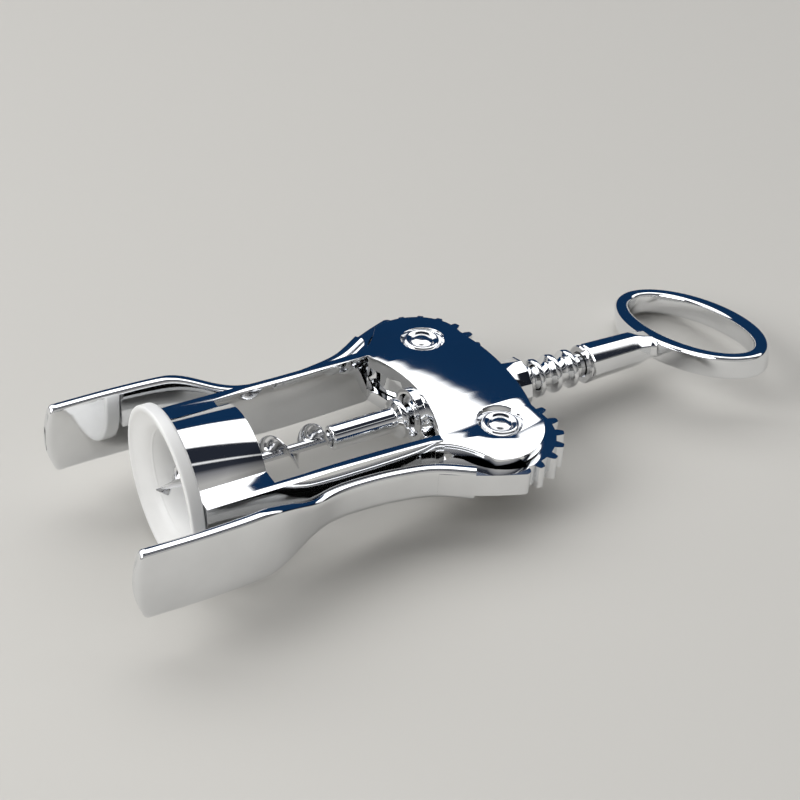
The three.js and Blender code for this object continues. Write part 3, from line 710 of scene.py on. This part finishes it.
AZIMUTH, ELEVATION, ROLL = 59.42, 36.53, 3.16
FOCAL_PIXELS = 1700.0
AIM_X, AIM_Y, DISTANCE = 19.767, 1.832, 388.244
right, up, back = camera_axes(AZIMUTH, ELEVATION, ROLL)
centre = Vector((0.0, 80.0, 0.0)) - AIM_X * right - AIM_Y * up + DISTANCE * back
camera_data = bpy.data.cameras.new("camera")
camera_data.sensor_width = 36.0
camera_data.lens = FOCAL_PIXELS * 36.0 / 800.0
camera_data.clip_start = 0.01
camera_data.clip_end = 20.0
camera = bpy.data.objects.new("camera", camera_data)
bpy.context.scene.collection.objects.link(camera)
turn = Matrix((right, up, back)).transposed().to_4x4()
camera.matrix_world = Matrix.Translation(at(*centre)) @ turn
bpy.context.scene.camera = camera

# ---- floor: it touches the flange's underside and the low edge of the ring ----
flange_y = FLANGE_THICKNESS / 2
ring_low = RING_HALF_WIDTH * math.sin(HANDLE_TURN) - RING_THICKNESS / 2 * math.cos(HANDLE_TURN)
rise = (FLANGE_RADIUS + ring_low) / (RING_CENTRE - flange_y)
floor_up = Vector((0.0, -rise, 1.0)).normalized()
touch = Vector((0.0, flange_y, -FLANGE_RADIUS - 0.08))
side_dir = Vector((1.0, 0.0, 0.0))
along_dir = floor_up.cross(side_dir)
bm = bmesh.new()
reach = 3000.0
signs = ((-1, -1), (1, -1), (1, 1), (-1, 1))
corners = [touch + side_dir * sx * reach + along_dir * sy * reach for sx, sy in signs]
face = bm.faces.new([bm.verts.new(at(*c)) for c in corners])
bm.normal_update()
if face.normal.dot(floor_up) < 0:
    face.normal_flip()
floor_mesh = bpy.data.meshes.new("floor")
bm.to_mesh(floor_mesh)
bm.free()
floor = bpy.data.objects.new("floor", floor_mesh)
bpy.context.scene.collection.objects.link(floor)
floor_mat = bpy.data.materials.new("floor_paper")
floor_mat.use_nodes = True
floor_bsdf = floor_mat.node_tree.nodes["Principled BSDF"]
floor_bsdf.inputs["Roughness"].default_value = 0.75
floor_bsdf.inputs["Specular IOR Level"].default_value = 0.2
floor_noise = floor_mat.node_tree.nodes.new("ShaderNodeTexNoise")
floor_noise.inputs["Scale"].default_value = 12.0
floor_mix = floor_mat.node_tree.nodes.new("ShaderNodeMix")
floor_mix.data_type = "RGBA"
floor_mix.inputs["A"].default_value = (0.61, 0.595, 0.56, 1)
floor_mix.inputs["B"].default_value = (0.585, 0.572, 0.54, 1)
floor_mat.node_tree.links.new(floor_noise.outputs["Fac"], floor_mix.inputs["Factor"])
floor_mat.node_tree.links.new(floor_mix.outputs["Result"], floor_bsdf.inputs["Base Color"])
floor_mesh.materials.append(floor_mat)

# ---- surroundings: a dark blue room, a wide softbox above it and a dim wall behind the viewer ----
world = bpy.data.worlds.new("studio")
bpy.context.scene.world = world
world.use_nodes = True
wt = world.node_tree
background = wt.nodes["Background"]
coord = wt.nodes.new("ShaderNodeTexCoord")
ROOM_PITCH = 0.105
room_up = Vector((math.sin(HANDLE_TURN), -ROOM_PITCH, math.cos(HANDLE_TURN))).normalized()
away = Vector((-0.86, 0.51, 0.0))
away = (away - room_up * away.dot(room_up)).normalized()
sideways = room_up.cross(away)


def world_dot(direction):
    node = wt.nodes.new("ShaderNodeVectorMath")
    node.operation = "DOT_PRODUCT"
    node.inputs[1].default_value = direction
    wt.links.new(coord.outputs["Generated"], node.inputs[0])
    return node.outputs["Value"]


def world_math(operation, a, b=None):
    node = wt.nodes.new("ShaderNodeMath")
    node.operation = operation
    for socket, value in zip(node.inputs, (a, b)):
        if value is None:
            continue
        if isinstance(value, (int, float)):
            socket.default_value = value
        else:
            wt.links.new(value, socket)
    return node.outputs["Value"]


height = world_dot(room_up)
forward = world_dot(away)
across = world_dot(sideways)
angle = world_math("ARCTAN2", height, forward)
share = world_math("DIVIDE", angle, math.pi)
bands = wt.nodes.new("ShaderNodeValToRGB")
bands.color_ramp.interpolation = "LINEAR"
WHITE = (2.1, 2.1, 2.1)
NAVY = (0.006, 0.03, 0.085)
DARK = (0.02, 0.024, 0.035)
GREY = (0.5, 0.49, 0.47)
# degrees round from the far horizon over the top, each with its colour
stops = [
    (0.0, (0.42, 0.42, 0.41)), (6, (0.20, 0.21, 0.23)), (11, (0.012, 0.04, 0.10)), (16, NAVY), (45.5, NAVY),
    (48, WHITE), (86, WHITE), (90, DARK), (116, DARK), (118, (0.9, 0.9, 0.9)), (120, (0.9, 0.9, 0.9)),
    (122, DARK), (134, (0.03, 0.034, 0.045)), (142, (0.22, 0.22, 0.23)), (165, GREY), (180, GREY),
]
elements = bands.color_ramp.elements
while len(elements) < len(stops):
    elements.new(0.5)
for element, (degrees, color) in zip(elements, stops):
    element.position = degrees / 180.0
    element.color = (*color, 1)
wt.links.new(share, bands.inputs["Fac"])
gain = wt.nodes.new("ShaderNodeMapRange")
wt.links.new(world_math("ABSOLUTE", across), gain.inputs["Value"])
gain.inputs["From Min"].default_value = 0.75
gain.inputs["From Max"].default_value = 0.95
gain.inputs["To Min"].default_value = 1.0
gain.inputs["To Max"].default_value = 0.35
wt.links.new(bands.outputs["Color"], background.inputs["Color"])
wt.links.new(gain.outputs["Result"], background.inputs["Strength"])


def area_light(name, place, target, size, power):
    data = bpy.data.lights.new(name, "AREA")
    data.shape = "DISK"
    data.size = size
    data.energy = power
    lamp = bpy.data.objects.new(name, data)
    bpy.context.scene.collection.objects.link(lamp)
    lamp.location = place
    lamp.rotation_euler = (place - target).to_track_quat("Z", "Y").to_euler()


aim = at(0, 60, 0)
area_light("front_fill", aim + Vector((-0.15, -0.9, 0.55)), aim, 0.7, 6.5)
bpy.context.scene.view_settings.view_transform = "Standard"
